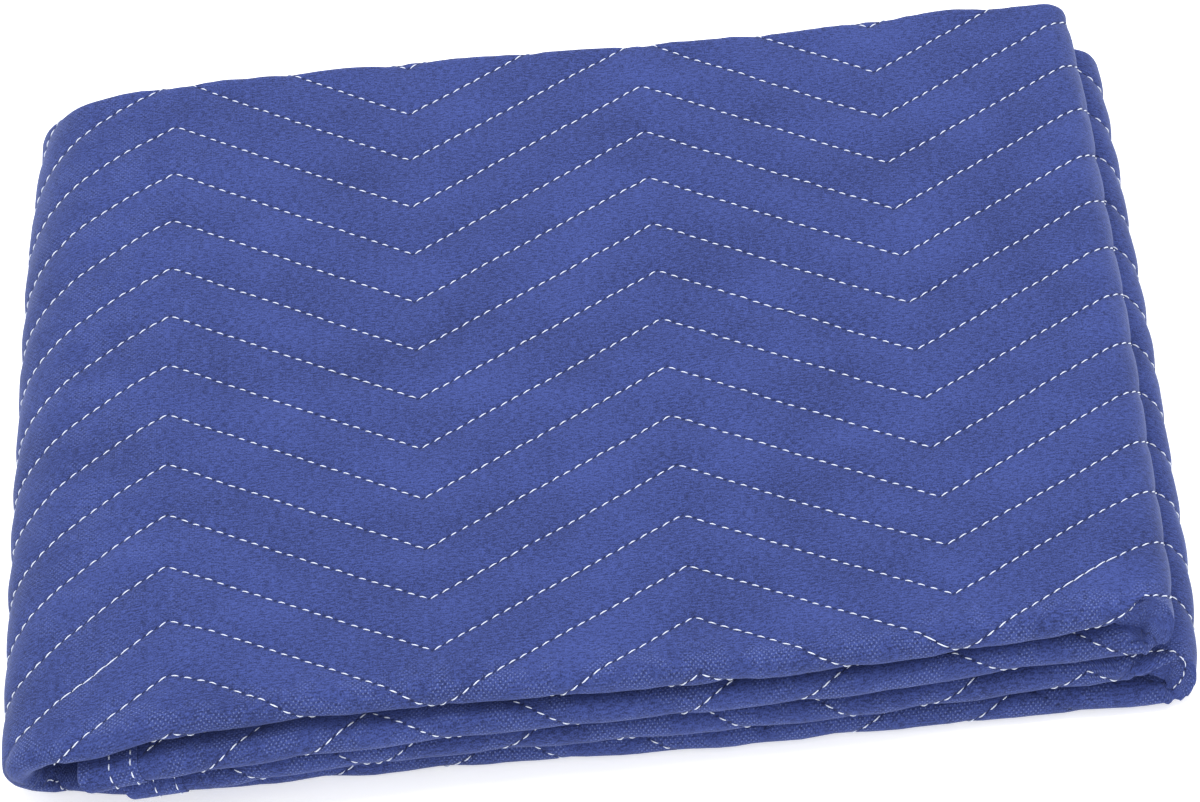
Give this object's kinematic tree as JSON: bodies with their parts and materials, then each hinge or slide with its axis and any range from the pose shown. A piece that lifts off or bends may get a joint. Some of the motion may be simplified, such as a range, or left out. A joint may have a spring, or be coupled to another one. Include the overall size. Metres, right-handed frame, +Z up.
{
  "type": "folded quilted moving blanket",
  "caption": "Quilted moving blanket with bound edges, folded in thirds along its length and then in four, lying flat as a neat stack.",
  "frame": {"origin": "middle of the folded stack's underside, on the surface it lies on", "axes": "+X along the stack's long side, from the wrapped end to the end with two folds; +Y to the back; +Z up"},
  "size_m": [0.4756, 0.3523, 0.0596],
  "materials": {
    "quilted_cloth": "blue needled felt cloth, dull and slightly fuzzy",
    "edge_binding": "blue dotted nonwoven strip, dull",
    "stitching_thread": "pale polyester thread, dull"
  },
  "bodies": {
    "root": {"blanket": "quilted_cloth", "binding_upper_end": "edge_binding", "binding_lower_end": "edge_binding", "binding_front_side": "edge_binding", "binding_back_side": "edge_binding"}
  },
  "joints": []
}
